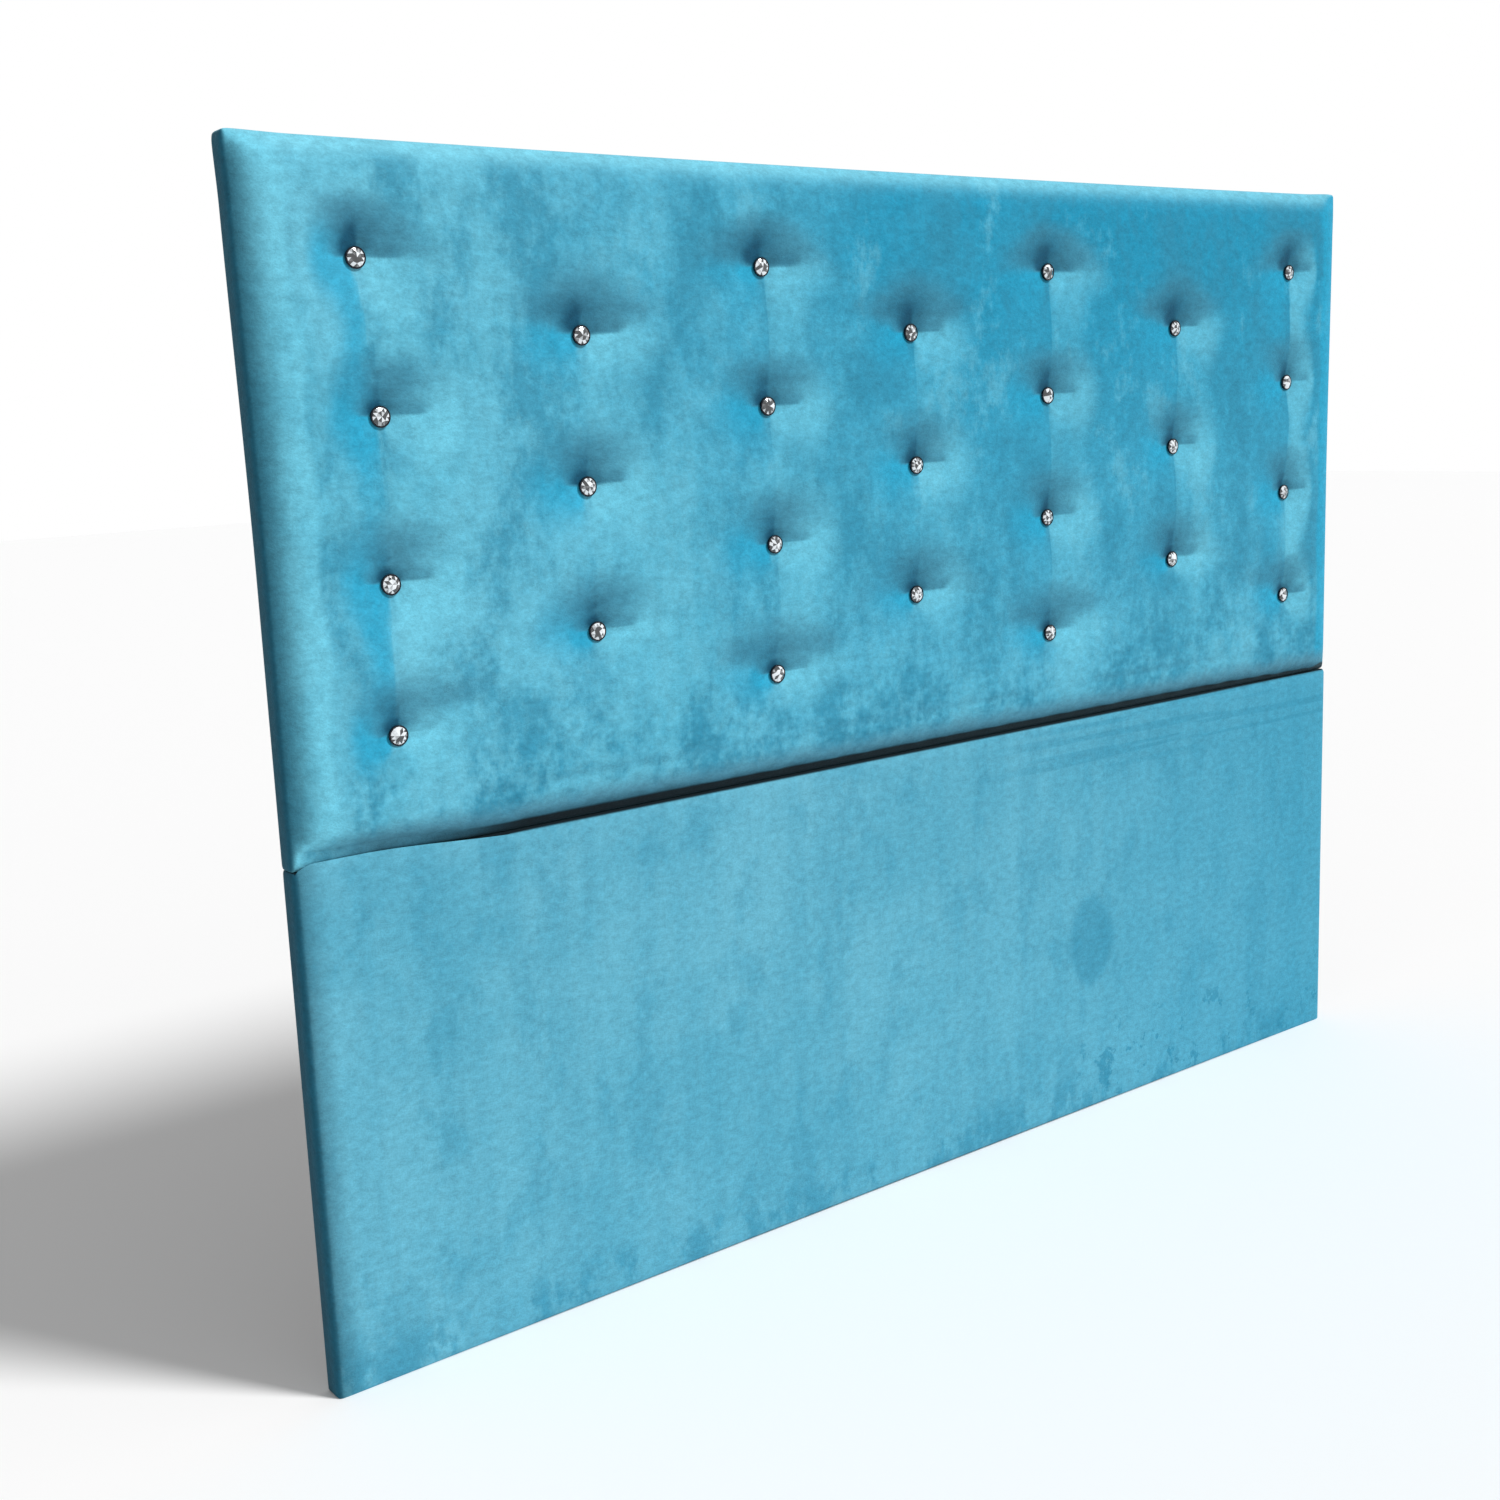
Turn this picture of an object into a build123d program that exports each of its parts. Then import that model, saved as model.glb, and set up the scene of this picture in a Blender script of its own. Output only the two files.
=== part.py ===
"""Upholstered headboard in two stacked modules: a button-tufted panel above a plain one.

Units are millimetres. +X runs along the width, +Z is up and the front faces -Y.
The origin is on the floor, under the middle of the whole width and depth.
Each module is a pine frame with a hardboard face, a foam pad, a velvet cover pulled
round the edges and stapled on the back, and a black dust cloth that closes the back.
"""

import math
import os

from build123d import *

# Overall sizes of the two modules
overall_width = 1600.0
lower_height = 528.0
upper_height = 657.0

# Layers, from the wall forwards
dust_cloth_thickness = 0.4
velvet_thickness = 1.0
cloth_gap = 0.3
batten_depth = 18.0
batten_width = 70.0
board_thickness = 3.0
upper_foam_thickness = 13.0
lower_foam_thickness = 3.0
side_foam_thickness = 2.7

# Soft outline of the pads
upper_edge_roll = 22.0
lower_edge_roll = 8.0
upper_base_roll = 22.0
lower_base_roll = 1.0
upper_crown = 1.5
lower_crown = 0.5
upper_crown_run = 70.0
lower_crown_run = 40.0
cover_corner_radius = 10.0
batten_corner_radius = 12.0

# Cloth on the back
return_width = 40.0
dust_cloth_margin = 10.0

# Tufting
top_button_drop = 104.0
button_row_pitch = 146.0
tuft_depth = 8.0
tuft_radius = 75.0
tuft_lip = 0.8
tuft_seat_radius = 9.5
crease_depth = 2.4
crease_radius = 90.0

# Crystal button
cup_radius = 10.0
cup_base_radius = 7.0
cup_flare_height = 1.6
cup_height = 3.4
cup_wall = 0.8
cup_fit = 0.1
crystal_table_radius = 5.2
crystal_crown_height = 2.4
crystal_girdle_height = 0.5
crystal_pavilion_depth = 1.6
crystal_culet_radius = 2.4
loop_radius = 2.0
loop_wire_radius = 0.45

# Twine that pulls each button in
twine_radius = 0.6
knot_radius = 1.8
twine_hole_radius = 2.0
loop_hole_clearance = 0.35
washer_radius = 10.0
washer_thickness = 1.5
washer_hole_radius = 0.9
tie_gap = 0.2

# Fasteners
screw_radius = 2.0
screw_head_radius = 4.0
screw_point_length = 4.0
corner_screw_length = 100.0
joining_screw_length = 110.0
pin_radius = 0.7
pin_head_radius = 1.5
pin_head_thickness = 0.5
pin_length = 8.0
pin_pitch = 150.0
pin_edge_distance = 11.0
staple_crown = 10.0
staple_wire = 0.6
staple_leg = 5.0
cover_staple_pitch = 80.0
cover_staple_inset = 30.0
dust_staple_pitch = 120.0
dust_staple_inset = 18.0

# Overrun of cutting tools past the faces that they cut
overrun = 5.0

# Places along the width, as shares of half the width, spaced by hand as a maker does
button_column_shares = (-0.855, -0.569, -0.277, -0.011, 0.268, 0.563, 0.862)
upper_stud_shares = (-0.4175, -0.1375, 0.136, 0.4245)
lower_stud_shares = (-0.5, 0.0, 0.5)
joining_screw_shares = (-0.78, -0.28, 0.28, 0.78)

# How far each button wanders sideways from its column, as shares of the row pitch
button_drift_shares = (
    (-0.055, 0.034, 0.020, -0.007),
    (0.007, -0.007, 0.007),
    (-0.014, 0.000, 0.020, 0.000),
    (-0.010, 0.020, -0.010),
    (0.014, 0.000, -0.020, 0.000),
    (0.020, -0.007, -0.014),
    (0.014, 0.000, -0.020, -0.007),
)

# How far each button sits above its row, as shares of the row pitch
button_rise_shares = (
    (0.000, 0.031, -0.024, 0.000),
    (0.016, 0.006, 0.010),
    (-0.019, -0.006, -0.015, 0.017),
    (0.005, -0.010, -0.022),
    (-0.023, -0.017, -0.020, 0.005),
    (0.014, -0.008, -0.003),
    (0.004, 0.009, -0.008, 0.021),
)

# Facet and step counts
crystal_sides = 16
edge_roll_steps = 6
long_column_buttons = 4

# Depths that follow from the layers
back_layers = dust_cloth_thickness + velvet_thickness + cloth_gap
front_layers = cloth_gap + velvet_thickness
upper_depth = back_layers + batten_depth + board_thickness + upper_foam_thickness + front_layers
lower_depth = back_layers + batten_depth + board_thickness + lower_foam_thickness + front_layers
back_y = upper_depth / 2
velvet_back_y = back_y - dust_cloth_thickness
batten_back_y = back_y - back_layers
batten_mid_y = batten_back_y - batten_depth / 2
board_back_y = batten_back_y - batten_depth
board_front_y = board_back_y - board_thickness
upper_front_y = back_y - upper_depth
lower_front_y = back_y - lower_depth
overall_height = lower_height + upper_height
frame_margin = velvet_thickness + cloth_gap + side_foam_thickness
frame_width = overall_width - 2 * frame_margin


def save(name, *solids):
    """Writes one node, a single solid or a group of alike ones."""
    shape = solids[0] if len(solids) == 1 else Compound(children=list(solids))
    export_step(shape, f"parts/{name}.step")
    print(name, len(solids))


def facing_wall(y, centre_z):
    """A plane square to the depth, with its first axis along the width and its second up."""
    return Plane(origin=(0, y, centre_z), x_dir=(1, 0, 0), z_dir=(0, -1, 0))


def slab(width, height, centre_z, from_y, to_y, corner):
    """A flat sheet with rounded corners, from one depth forwards to another."""
    outline = facing_wall(from_y, centre_z) * RectangleRounded(width, height, corner)
    return extrude(outline, amount=from_y - to_y)


# Soft pads


def rolled_in(radius, height):
    """How far an edge rolled at a radius stands in from its side, at a height under the face."""
    drop = max(0, radius - height)
    return radius - math.sqrt(radius**2 - drop**2)


def pad(width, height, centre_z, from_y, front_y, roll, base_roll, crown, crown_run, corner):
    """A crowned pad: straight sides, edges rolled through a quarter turn and a raised middle.
    The bottom edge has a roll of its own, because the foam stops short of what it stands on.
    """
    face_y = front_y + crown
    rings = [(0, 0, from_y)]
    for step in range(edge_roll_steps + 1):
        under = roll * (1 - math.sin(math.pi / 2 * step / edge_roll_steps))
        rings.append((rolled_in(roll, under), rolled_in(base_roll, under), face_y + under))
    rings.append((roll + crown_run, base_roll + crown_run, front_y))
    sections = []
    for inset, base_inset, y in rings:
        outline = RectangleRounded(width - 2 * inset, height - inset - base_inset, corner + inset)
        sections.append(facing_wall(y, centre_z + (base_inset - inset) / 2) * outline)
    return loft(sections, ruled=True)


def button_places():
    """The (x, z) of every button, one list for each column from the left."""
    top_z = overall_height - top_button_drop
    columns = []
    for share, drifts, rises in zip(button_column_shares, button_drift_shares, button_rise_shares):
        short = len(drifts) < long_column_buttons
        first_z = top_z - (button_row_pitch / 2 if short else 0)
        column = []
        for row, (drift, rise) in enumerate(zip(drifts, rises)):
            x = share * overall_width / 2 + drift * button_row_pitch
            column.append((x, first_z + (rise - row) * button_row_pitch))
        columns.append(column)
    return columns


def tuft_cutter():
    """The hollow that one button draws in: a flat seat and a flank that eases out to the face."""
    run = tuft_radius - tuft_seat_radius
    rise = tuft_depth + tuft_lip
    flank_radius = (run**2 + rise**2) / (2 * rise)
    half_turn = math.asin(run / flank_radius) / 2
    middle = (
        tuft_radius - flank_radius * math.sin(half_turn),
        flank_radius * (1 - math.cos(half_turn)) - tuft_lip,
    )
    seat_edge = (tuft_seat_radius, tuft_depth)
    lip = (tuft_radius, -tuft_lip)
    flank = ThreePointArc(seat_edge, middle, lip)
    rest = Polyline(lip, (tuft_radius, -overrun), (0, -overrun), (0, tuft_depth), seat_edge)
    return revolve(make_face([flank, rest]), Axis.Y)


def tufting_tools(face_y):
    """The tufts of every button and the soft crease down each column, below a face at face_y."""
    tuft = tuft_cutter()
    tools = []
    for column in button_places():
        for x, z in column:
            tools.append(Pos(x, face_y, z) * tuft)
        top_z = column[0][1]
        bottom_z = column[-1][1]
        column_x = sum(x for x, z in column) / len(column)
        crease_y = face_y + crease_depth - crease_radius
        crease = Cylinder(crease_radius, top_z - bottom_z)
        tools.append(Pos(column_x, crease_y, (top_z + bottom_z) / 2) * crease)
    return tools


class Module:
    """The sizes of one upholstered module, shared by its frame, pad and covers."""

    def __init__(self, low_z, height, front_y, roll, base_roll, crown, crown_run):
        self.height = height
        self.centre_z = low_z + height / 2
        self.front_y = front_y
        self.roll = roll
        self.base_roll = base_roll
        self.crown = crown
        self.crown_run = crown_run
        self.frame_height = height - 2 * frame_margin

    def pad(self, inset, from_y):
        """The module's soft outline, set in all round and at the front."""
        return pad(
            overall_width - 2 * inset,
            self.height - 2 * inset,
            self.centre_z,
            from_y,
            self.front_y + inset,
            self.roll - inset,
            max(0, self.base_roll - inset),
            self.crown,
            self.crown_run,
            cover_corner_radius - inset,
        )

    def panel(self, from_y, to_y, margin):
        """A sheet set in from the module's outline by a margin."""
        return slab(
            overall_width - 2 * margin,
            self.height - 2 * margin,
            self.centre_z,
            from_y,
            to_y,
            batten_corner_radius,
        )

    def along_edges(self, inset, pitch):
        """Evenly spaced places round the module, set in from its edge, with the turn of each side."""
        places = []
        for length, other, turned in (
            (overall_width - 2 * inset, self.height - 2 * inset, False),
            (self.height - 2 * inset, overall_width - 2 * inset, True),
        ):
            count = max(1, round(length / pitch))
            for number in range(count):
                along = (number + 0.5) * length / count - length / 2
                for side in (-1, 1):
                    across = side * other / 2
                    x, z = (across, along) if turned else (along, across)
                    places.append((x, self.centre_z + z, 90 if turned else 0))
        return places


upper = Module(
    lower_height, upper_height, upper_front_y, upper_edge_roll, upper_base_roll, upper_crown, upper_crown_run
)
lower = Module(0, lower_height, lower_front_y, lower_edge_roll, lower_base_roll, lower_crown, lower_crown_run)


# Fasteners


def screw(length):
    """A countersunk wood screw along +X, its head's flat face at the origin."""
    sink = screw_head_radius - screw_radius
    outline = Polyline(
        (0, 0),
        (0, screw_head_radius),
        (sink, screw_radius),
        (length - screw_point_length, screw_radius),
        (length, 0),
        (0, 0),
    )
    return revolve(make_face(outline), Axis.X)


def board_pin():
    """A panel pin along +Y, its head's front at the origin."""
    outline = Polyline(
        (0, 0),
        (pin_head_radius, 0),
        (pin_head_radius, pin_head_thickness),
        (pin_radius, pin_head_thickness),
        (pin_radius, pin_length),
        (0, pin_length),
        (0, 0),
    )
    return revolve(make_face(outline), Axis.Y)


def staple():
    """A staple whose crown lies along X with its outer face at the origin, legs towards -Y."""
    half = staple_crown / 2
    inner = half - staple_wire
    outline = Polyline(
        (-half, 0),
        (half, 0),
        (half, -staple_leg),
        (inner, -staple_leg),
        (inner, -staple_wire),
        (-inner, -staple_wire),
        (-inner, -staple_leg),
        (-half, -staple_leg),
        (-half, 0),
    )
    return extrude(make_face(outline), amount=staple_wire / 2, both=True)


def staples(module, inset, pitch, crown_y):
    """A row of staples round the back of a module, crowns flush with the cloth's outer face."""
    one = staple()
    return [
        Pos(x, crown_y, z) * Rot(0, turn, 0) * one
        for x, z, turn in module.along_edges(inset, pitch)
    ]


def corner_screws(module):
    """Screws through the stiles into the rails, and through the rails into the studs."""
    one = screw(corner_screw_length)
    found = []
    rail_offset = (module.frame_height - batten_width) / 2
    for side in (-1, 1):
        for level in (-1, 1):
            turn = 0 if side < 0 else 180
            place = Pos(side * frame_width / 2, batten_mid_y, module.centre_z + level * rail_offset)
            found.append(place * Rot(0, 0, turn) * one)
    return found


def stud_screws(module, shares):
    """Screws through the top and bottom rails into the ends of the studs."""
    one = screw(corner_screw_length)
    found = []
    for share in shares:
        for level in (-1, 1):
            z = module.centre_z + level * module.frame_height / 2
            place = Pos(share * overall_width / 2, batten_mid_y, z)
            found.append(place * Rot(0, level * 90, 0) * one)
    return found


def joining_screws():
    """Screws up through the lower top rail into the upper bottom rail."""
    one = screw(joining_screw_length)
    head_z = lower.centre_z + lower.frame_height / 2 - batten_width
    return [
        Pos(share * overall_width / 2, batten_mid_y, head_z) * Rot(0, -90, 0) * one
        for share in joining_screw_shares
    ]


# Frames


def batten(x, centre_z, width, height):
    """One straight pine batten between the frame's back and the board."""
    return Pos(x, batten_mid_y, centre_z) * Box(width, batten_depth, height)


def frame_battens(module, shares):
    """The stiles, rails and studs of one frame, by plain name."""
    rail_length = frame_width - 2 * batten_width
    rail_offset = (module.frame_height - batten_width) / 2
    stile_x = (frame_width - batten_width) / 2
    stud_height = module.frame_height - 2 * batten_width
    outline = module.panel(batten_back_y, board_back_y, frame_margin)
    battens = {}
    for name, side in (("left_stile", -1), ("right_stile", 1)):
        post = batten(side * stile_x, module.centre_z, batten_width, module.frame_height)
        battens[name] = post & outline
    for name, level in (("bottom_rail", -1), ("top_rail", 1)):
        z = module.centre_z + level * rail_offset
        battens[name] = batten(0, z, rail_length, batten_width)
    for number, share in enumerate(shares, 1):
        x = share * overall_width / 2
        battens[f"stud_{number}"] = batten(x, module.centre_z, batten_width, stud_height)
    return battens


# Crystal buttons and what ties them in


def crystal():
    """A cut glass stone facing -Y, its girdle level with the rim of the cup behind it."""
    girdle = cup_radius - cup_wall - cup_fit
    girdle_y = -(cup_height - crystal_girdle_height)
    rings = (
        (crystal_culet_radius, girdle_y + crystal_pavilion_depth),
        (girdle, girdle_y),
        (girdle, -cup_height),
        (crystal_table_radius, -cup_height - crystal_crown_height),
    )
    sections = [
        Plane(origin=(0, y, 0), x_dir=(1, 0, 0), z_dir=(0, -1, 0)) * RegularPolygon(radius, crystal_sides)
        for radius, y in rings
    ]
    return loft(sections, ruled=True)


def cup():
    """The chromed cup round the stone, its flat base at the origin."""
    girdle = cup_radius - cup_wall
    seat_y = -(cup_height - crystal_girdle_height - crystal_pavilion_depth) + cup_fit
    outline = Polyline(
        (0, 0),
        (cup_base_radius, 0),
        (cup_radius, -cup_flare_height),
        (cup_radius, -cup_height),
        (girdle, -cup_height),
        (girdle, -cup_flare_height - cup_wall),
        (crystal_culet_radius + cup_wall, seat_y),
        (0, seat_y),
        (0, 0),
    )
    return revolve(make_face(outline), Axis.Y)


def tie(seat_y):
    """The twine from a button's loop to its knot behind the board, its axis at the origin."""
    start_y = seat_y + 2 * (loop_radius + loop_wire_radius) + tie_gap
    knot_y = board_back_y + washer_thickness + knot_radius
    cord = Pos(0, (start_y + knot_y) / 2, 0) * Rot(90, 0, 0) * Cylinder(twine_radius, knot_y - start_y)
    return cord + Pos(0, knot_y, 0) * Sphere(knot_radius)


def washer():
    """The disc that the knot pulls against, on the back of the board."""
    disc = Cylinder(washer_radius, washer_thickness) - Cylinder(washer_hole_radius, washer_thickness + overrun)
    return Pos(0, board_back_y + washer_thickness / 2, 0) * Rot(90, 0, 0) * disc


def drill(radius, from_y, to_y):
    """A round hole along the depth, its axis at the origin."""
    return Pos(0, (from_y + to_y) / 2, 0) * Rot(90, 0, 0) * Cylinder(radius, from_y - to_y)


def at_buttons(shape):
    """One copy of a shape on every button's axis."""
    return [Pos(x, 0, z) * shape for column in button_places() for x, z in column]


# Building the modules


def build_module(name, module, foam, stud_shares, cover_cuts, board_cuts, join):
    """Writes the frame, board, foam, cover, dust cloth and fasteners of one module."""
    frame_screws = corner_screws(module) + stud_screws(module, stud_shares)
    cover_staples = staples(module, cover_staple_inset, cover_staple_pitch, velvet_back_y)
    dust_staples = staples(module, dust_staple_inset, dust_staple_pitch, back_y)
    pin = board_pin()
    pin_inset = frame_margin + pin_edge_distance
    pins = [Pos(x, board_front_y, z) * pin for x, z, turn in module.along_edges(pin_inset, pin_pitch)]
    metal = frame_screws + cover_staples + dust_staples + pins + join
    for part_name, solid in frame_battens(module, stud_shares).items():
        box = solid.bounding_box()
        near = [tool for tool in metal if box.overlaps(tool.bounding_box())]
        save(f"{name}_{part_name}", solid - near if near else solid)
    board = module.panel(board_back_y, board_front_y, frame_margin)
    save(f"{name}_backing_board", board - pins - board_cuts)
    save(f"{name}_foam", foam)
    outer = module.pad(0, velvet_back_y)
    inner = module.pad(velvet_thickness, velvet_back_y - velvet_thickness)
    window = module.panel(back_y + overrun, batten_back_y - overrun, return_width)
    tools = [inner, window] + cover_staples + dust_staples + join
    if cover_cuts:
        outer = outer - tufting_tools(module.front_y)
        inner = inner - tufting_tools(module.front_y + velvet_thickness)
        tools = [inner, window] + cover_staples + dust_staples + join + cover_cuts
    save(f"{name}_cover", outer - tools)
    dust_cloth = module.panel(back_y, velvet_back_y, dust_cloth_margin)
    save(f"{name}_dust_cloth", dust_cloth - dust_staples)
    save(f"{name}_frame_screws", *frame_screws)
    save(f"{name}_board_pins", *pins)
    save(f"{name}_cover_staples", *cover_staples)
    save(f"{name}_dust_cloth_staples", *dust_staples)


def foam_pad(module, tools):
    """The foam over the front and round the edges of a frame, with its cuts."""
    inset = velvet_thickness + cloth_gap
    block = module.pad(inset, batten_back_y)
    core = module.panel(batten_back_y + overrun, board_front_y, frame_margin)
    return block - tools - core


os.makedirs("parts", exist_ok=True)
screws_between = joining_screws()
seat_y = upper_front_y + tuft_depth
loop_hole_radius = loop_radius + loop_wire_radius + loop_hole_clearance
loop_holes = at_buttons(drill(loop_hole_radius, board_front_y, seat_y - overrun))
board_holes = at_buttons(drill(twine_hole_radius, board_back_y + overrun, board_front_y - overrun))
upper_foam = foam_pad(
    upper,
    tufting_tools(upper_front_y + velvet_thickness + cloth_gap) + loop_holes + screws_between,
)
lower_foam = foam_pad(lower, screws_between)
build_module("upper", upper, upper_foam, upper_stud_shares, loop_holes, board_holes, screws_between)
build_module("lower", lower, lower_foam, lower_stud_shares, [], [], screws_between)
save("joining_screws", *screws_between)

stone = crystal()
holder = cup()
for number, column in enumerate(button_places(), 1):
    save(f"crystals_column_{number}", *[Pos(x, seat_y, z) * stone for x, z in column])
    save(f"button_cups_column_{number}", *[Pos(x, seat_y, z) * holder for x, z in column])
loop = Pos(0, seat_y + loop_radius + loop_wire_radius, 0) * Torus(loop_radius, loop_wire_radius)
save("button_loops", *at_buttons(loop))
save("tufting_twine", *at_buttons(tie(seat_y)))
save("twine_washers", *at_buttons(washer()))
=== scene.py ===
# %% [markdown]
# # A tufted velvet headboard
#
# The object is a headboard in two stacked panels. Each one is a pine frame with a thin
# foam pad, and velvet pulled over it and stapled behind. The upper panel is drawn in by
# 25 crystal buttons. The construction comes in as a fixed frame of exact solids, and this
# lesson dresses it: velvet, crystals, chrome, dust cloth and the stuff of every hidden piece.

# %% Load the frame
import math

import bpy
import numpy as np
from mathutils import Matrix, Vector


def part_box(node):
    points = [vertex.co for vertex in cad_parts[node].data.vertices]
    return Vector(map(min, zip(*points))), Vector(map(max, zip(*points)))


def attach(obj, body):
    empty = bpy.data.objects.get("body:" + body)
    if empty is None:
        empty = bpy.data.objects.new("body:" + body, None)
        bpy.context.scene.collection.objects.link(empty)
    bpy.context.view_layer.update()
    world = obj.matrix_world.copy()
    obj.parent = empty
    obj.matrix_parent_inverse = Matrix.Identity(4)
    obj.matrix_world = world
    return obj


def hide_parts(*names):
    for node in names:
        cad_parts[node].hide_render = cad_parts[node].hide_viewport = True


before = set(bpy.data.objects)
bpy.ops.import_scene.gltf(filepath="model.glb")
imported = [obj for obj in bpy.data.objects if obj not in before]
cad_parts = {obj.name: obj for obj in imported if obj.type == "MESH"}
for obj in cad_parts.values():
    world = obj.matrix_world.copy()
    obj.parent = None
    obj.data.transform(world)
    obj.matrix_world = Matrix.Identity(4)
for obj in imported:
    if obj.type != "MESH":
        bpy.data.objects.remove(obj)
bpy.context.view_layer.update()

SCENE = bpy.context.scene
MM = 0.001


# %% [markdown]
# ## The camera
#
# A camera can be placed by eye, or solved from things of known shape in a picture. Here
# the edges of the two panels and the grid of buttons gave the angles: it stands left of
# the headboard, turned 38 degrees off square, looking down a little. The roll is small
# but shows, because the left edge leans. A turn about Z, a tilt about X and a roll about
# the view axis are three simple matrices, multiplied in that order.

# %% Place the camera
CAMERA_PLACE = (-1.4884, -1.5773, 0.9414)
CAMERA_TURN = math.radians(-38.04)
CAMERA_TILT = math.radians(79.32)
CAMERA_ROLL = math.radians(-2.29)
CAMERA_LENS = 44.51
SENSOR_WIDTH = 36

camera = bpy.data.objects.new("camera", bpy.data.cameras.new("camera"))
SCENE.collection.objects.link(camera)
camera.data.sensor_width = SENSOR_WIDTH
camera.data.lens = CAMERA_LENS
camera.matrix_world = (
    Matrix.Translation(CAMERA_PLACE)
    @ Matrix.Rotation(CAMERA_TURN, 4, "Z")
    @ Matrix.Rotation(CAMERA_TILT, 4, "X")
    @ Matrix.Rotation(CAMERA_ROLL, 4, "Z")
)
SCENE.camera = camera
SCENE.view_settings.view_transform = "Standard"
print("camera at", CAMERA_PLACE)


# %% [markdown]
# ## Shader maths as plain expressions
#
# A material is a graph of nodes. Written out node by node it is long and hard to read, so
# one small class wraps an output socket and overloads the arithmetic signs. Then
# `1 - mask * 0.4` adds its own Math nodes.

# %% A socket that does arithmetic


class Wire:
    """An output socket. Arithmetic on it adds Math nodes."""

    def __init__(self, finish, socket):
        self.finish = finish
        self.socket = socket

    def math(self, operation, *values):
        return self.finish.node("ShaderNodeMath", dict(enumerate(values)), operation=operation)

    def __add__(self, other):
        return self.math("ADD", self, other)

    def __radd__(self, other):
        return self.math("ADD", other, self)

    def __sub__(self, other):
        return self.math("SUBTRACT", self, other)

    def __rsub__(self, other):
        return self.math("SUBTRACT", other, self)

    def __mul__(self, other):
        return self.math("MULTIPLY", self, other)

    def __rmul__(self, other):
        return self.math("MULTIPLY", other, self)

    def between(self, low, high):
        """0 below low, 1 above high and a smooth rise between; turned round if low > high."""
        falling = low > high
        low, high = min(low, high), max(low, high)
        ends = {"From Min": low, "From Max": high}
        if falling:
            ends.update({"To Min": 1, "To Max": 0})
        return self.finish.node(
            "ShaderNodeMapRange", {"Value": self, **ends}, interpolation_type="SMOOTHSTEP"
        )


print("arithmetic on sockets ready")


# %% [markdown]
# ## One class for every material
#
# All the finishes here are one Principled shader with a few nodes before it, so a second
# class holds the shader and the tree. Each node comes from one method, which takes the
# node's type, its inputs and its settings, and short methods name the few kinds that recur.

# %% A finish that holds a material


class Finish:
    """A material with one Principled shader, whose constants are set on its own sockets."""

    def __init__(self, name, **constants):
        self.material = bpy.data.materials.new(name)
        self.material.use_nodes = True
        self.tree = self.material.node_tree
        self.shader = next(n for n in self.tree.nodes if n.type == "BSDF_PRINCIPLED")
        for socket, value in constants.items():
            self.shader.inputs[socket.replace("_", " ")].default_value = value

    def node(self, kind, inputs, output=0, **settings):
        """Adds any node: its settings come first, then the values or links of its inputs."""
        node = self.tree.nodes.new(kind)
        for key, value in settings.items():
            setattr(node, key, value)
        for key, value in inputs.items():
            self.plug(node.inputs[key], value)
        return Wire(self, node.outputs[output])

    def plug(self, socket, value):
        """Links a wire to an input, or sets a plain value on it."""
        if isinstance(value, Wire):
            self.tree.links.new(value.socket, socket)
        else:
            socket.default_value = value

    def feed(self, **inputs):
        """Links what changes over the surface to the shader."""
        for key, value in inputs.items():
            self.plug(self.shader.inputs[key.replace("_", " ")], value)

    def place(self):
        """The point of the surface, in metres."""
        return self.node("ShaderNodeTexCoord", {}, output="Object")

    def axes(self, vector):
        """The X, Y and Z of a vector, each as a number."""
        split = self.node("ShaderNodeSeparateXYZ", {"Vector": vector})
        return [Wire(self, split.socket.node.outputs[axis]) for axis in "XYZ"]

    def stretch(self, vector, scale):
        """The vector with each axis scaled."""
        return self.node("ShaderNodeVectorMath", {0: vector, 1: scale}, operation="MULTIPLY")

    def noise(self, vector, scale, detail=2.0, roughness=0.5):
        """Soft noise from 0 to 1, with scale grains to the metre."""
        inputs = {"Vector": vector, "Scale": scale, "Detail": detail, "Roughness": roughness}
        return self.node("ShaderNodeTexNoise", inputs)

    def mix(self, factor, first, second, blend="MIX"):
        """One colour over another."""
        inputs = {0: factor, 6: first, 7: second}
        return self.node("ShaderNodeMix", inputs, output=2, data_type="RGBA", blend_type=blend)

    def bump(self, height, distance, strength):
        """A bump whose full height is a distance in metres."""
        inputs = {"Height": height, "Distance": distance, "Strength": strength}
        return self.node("ShaderNodeBump", inputs)


def paint(red, green, blue):
    """A colour as an artist reads it, 0 to 255, turned into linear light."""
    linear = [
        c / 255 / 12.92 if c <= 10 else ((c / 255 + 0.055) / 1.055) ** 2.4
        for c in (red, green, blue)
    ]
    return (*linear, 1)


print("finishes ready")


# %% [markdown]
# ## The velvet
#
# Velvet is a short pile that leans one way, its nap. Seen or lit along the nap it is pale,
# against it deep and saturated, so under one light every slope changes colour as well as
# brightness. Three things make it here: painted light and shade by the slope, read from the
# surface normal, standing for one light from the upper right; patches where hands and the
# roll pressed the nap, from stretched noise; and the grain of the pile itself, in the colour
# and as a fine bump. The sheen is a constant of the shader.

# %% Mix the velvet
VELVET_PALE = paint(100, 178, 200)
VELVET_MID = paint(84, 167, 191)
# Painted light: colours for slopes that face up and to the left.
VELVET_UPWARD_LIGHT = paint(128, 206, 225)
VELVET_LIT = paint(114, 200, 222)
# Painted shading: a deeper colour for slopes that face right, and for the right and top of the
# panels.
VELVET_LIT_DEEP = paint(24, 150, 186)
VELVET_SHADED_DEEP = paint(20, 136, 170)
VELVET_CRUSHED = paint(40, 128, 157)
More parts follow.
